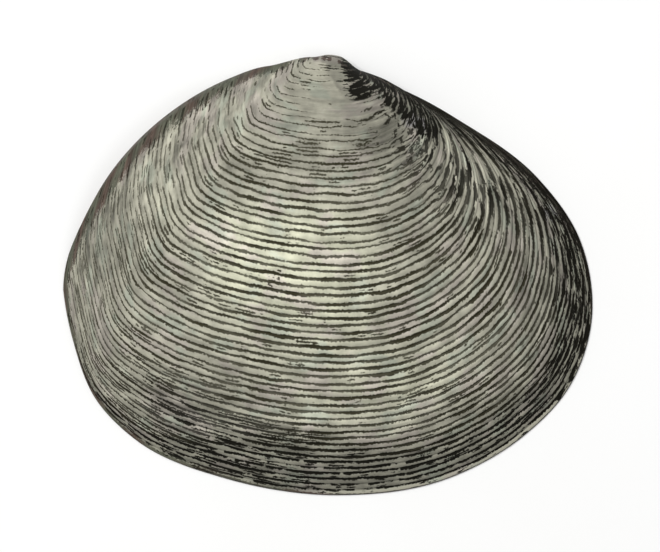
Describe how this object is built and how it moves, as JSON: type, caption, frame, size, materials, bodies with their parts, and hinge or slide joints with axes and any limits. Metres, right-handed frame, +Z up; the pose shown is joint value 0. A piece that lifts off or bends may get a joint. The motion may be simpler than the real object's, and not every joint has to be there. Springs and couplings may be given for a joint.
{
  "type": "clam shell valve",
  "caption": "One valve of a clam shell lying dome up: low rounded-triangular dome with fine concentric ridges, a small curled beak, a folded rear side and a hollow, toothed underside.",
  "frame": {"origin": "centre of the valve's bounding box, at the height of the flat edge it lies on", "axes": "+X towards the shell's front end, along its length; +Y towards the beak and hinge; +Z up, out of the dome"},
  "size_m": [0.036, 0.03, 0.0071],
  "materials": {
    "shell": "matt to silky shell lime, grey-olive and cream with dark growth lines"
  },
  "bodies": {
    "root": {"right_valve": "shell"}
  },
  "joints": []
}
